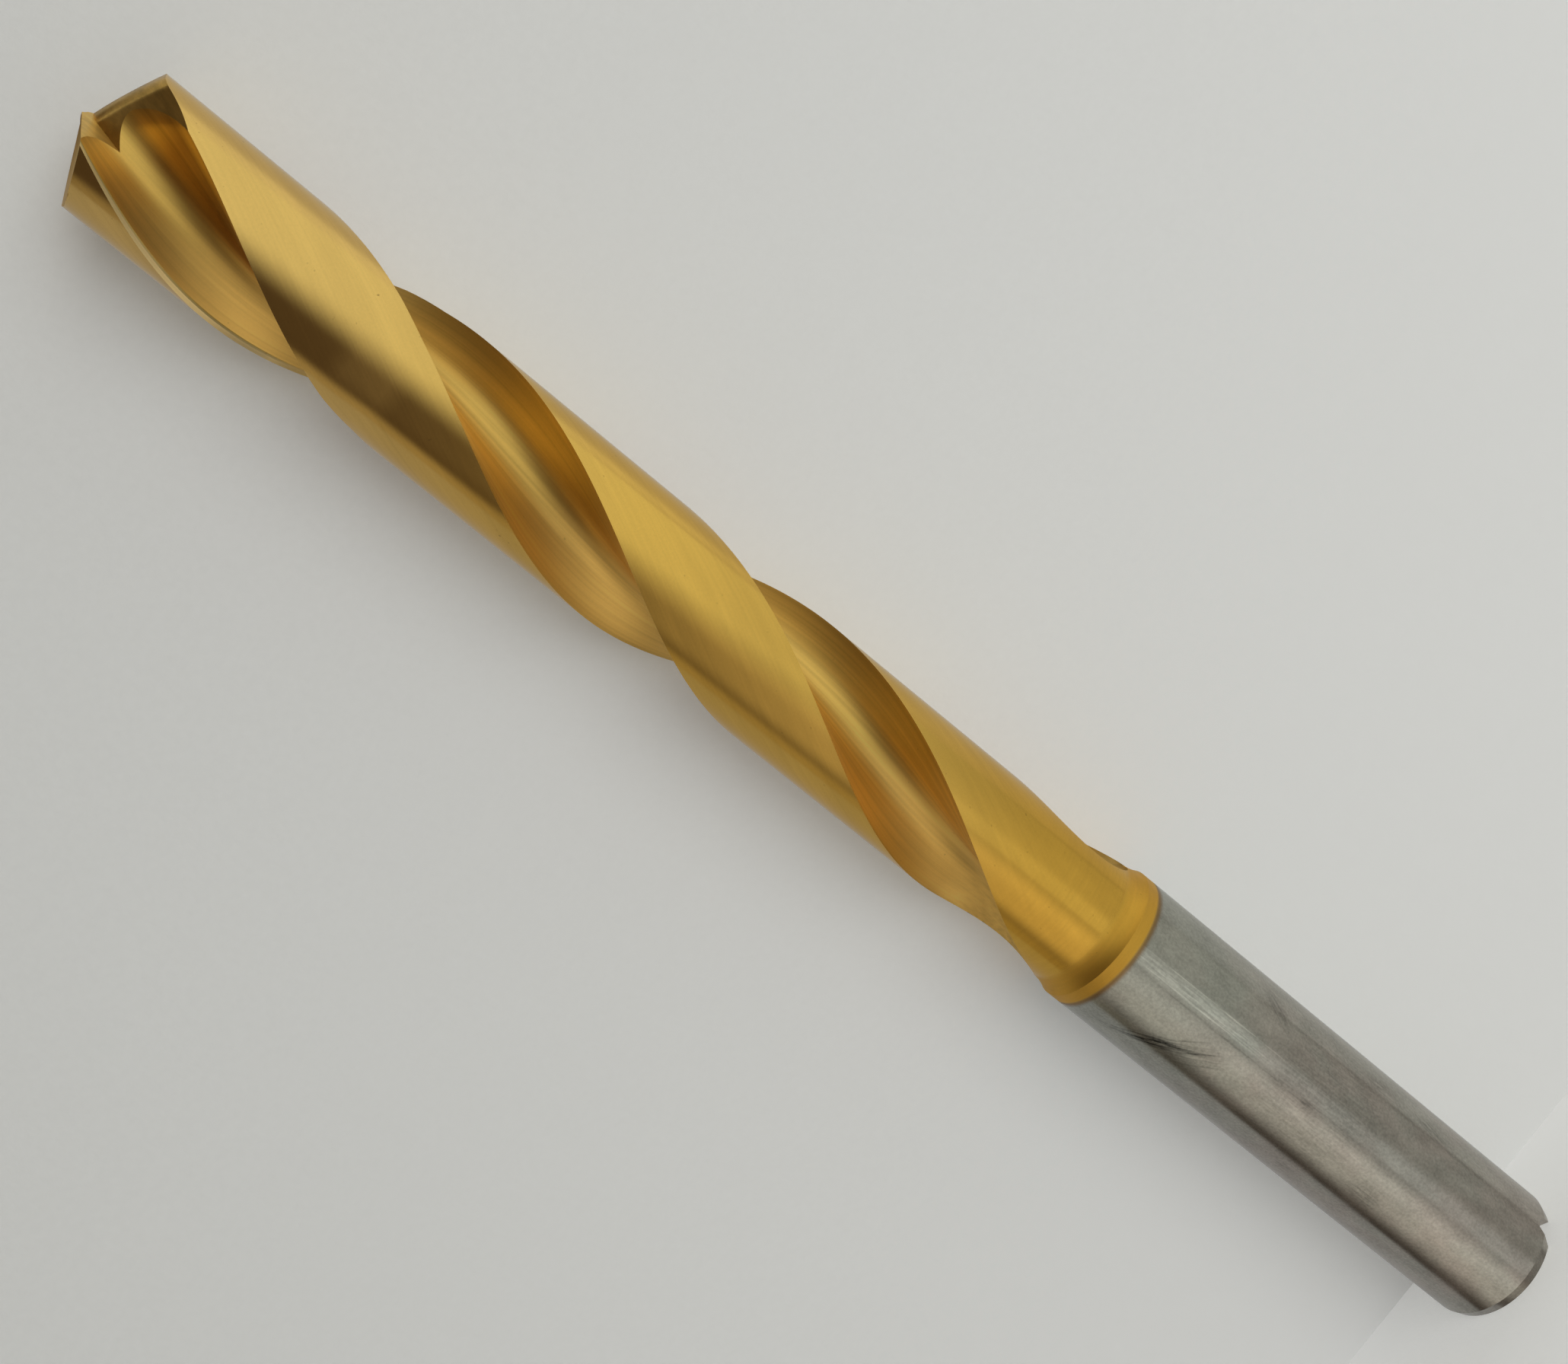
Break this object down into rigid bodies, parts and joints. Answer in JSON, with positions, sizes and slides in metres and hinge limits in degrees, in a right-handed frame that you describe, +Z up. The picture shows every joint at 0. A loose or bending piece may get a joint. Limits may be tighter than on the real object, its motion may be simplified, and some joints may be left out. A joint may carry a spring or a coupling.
{
  "type": "twist drill bit",
  "caption": "Solid carbide twist drill: gold-coated right-hand helical flutes on a bare round shank with a slot across its end.",
  "frame": {"origin": "centre of the flat shank end", "axes": "+Z up the drill's axis to the point; the side seen in the picture faces -Y"},
  "size_m": [0.012, 0.012, 0.1428],
  "materials": {
    "coated_carbide": "satin gold-coloured hard coating on the fluted part, bare ground carbide on the shank"
  },
  "bodies": {
    "root": {"carbide_drill": "coated_carbide"}
  },
  "joints": []
}
